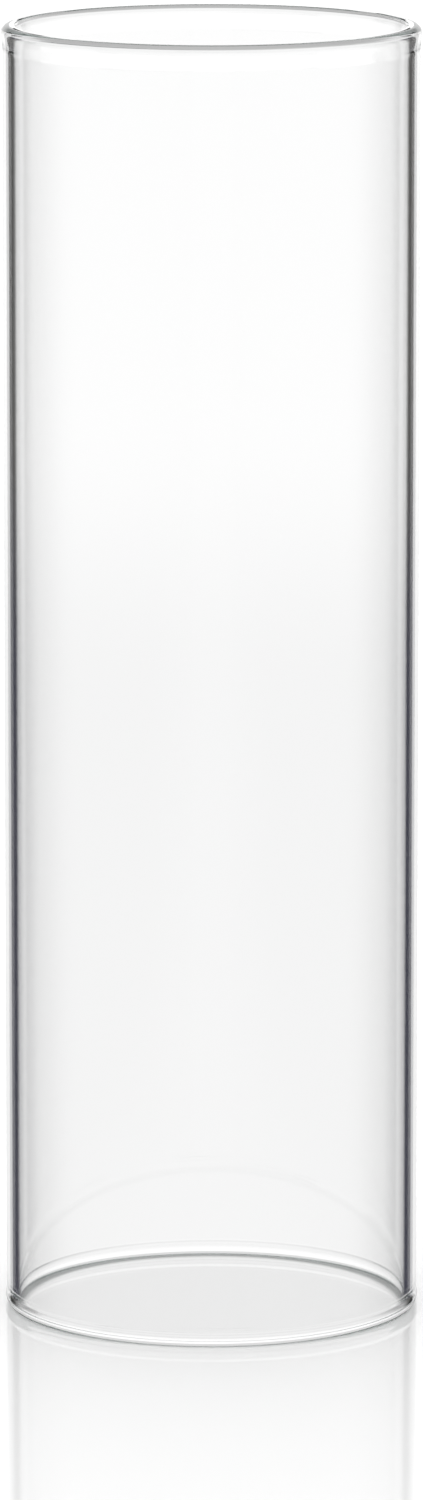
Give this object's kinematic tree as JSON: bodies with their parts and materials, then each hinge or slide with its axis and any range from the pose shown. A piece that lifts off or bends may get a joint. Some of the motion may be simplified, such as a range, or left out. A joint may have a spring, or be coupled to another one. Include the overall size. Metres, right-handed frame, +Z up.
{
  "type": "open glass cylinder vase",
  "caption": "Tall clear glass cylinder for flowers or a candle, open at both ends, with a rounded bead around the mouth and the foot.",
  "frame": {"origin": "on the cylinder's axis, in the plane of the foot's flat ring, which is the surface the cylinder stands on", "axes": "+Z up along the cylinder's axis, from the foot to the mouth; +X and +Y across it, and the glass is the same all the way round"},
  "size_m": [0.0806, 0.0806, 0.25],
  "materials": {
    "clear_glass": "clear, fire polished"
  },
  "bodies": {
    "root": {"cylinder_wall": "clear_glass", "mouth_rim": "clear_glass", "foot_rim": "clear_glass"}
  },
  "joints": []
}
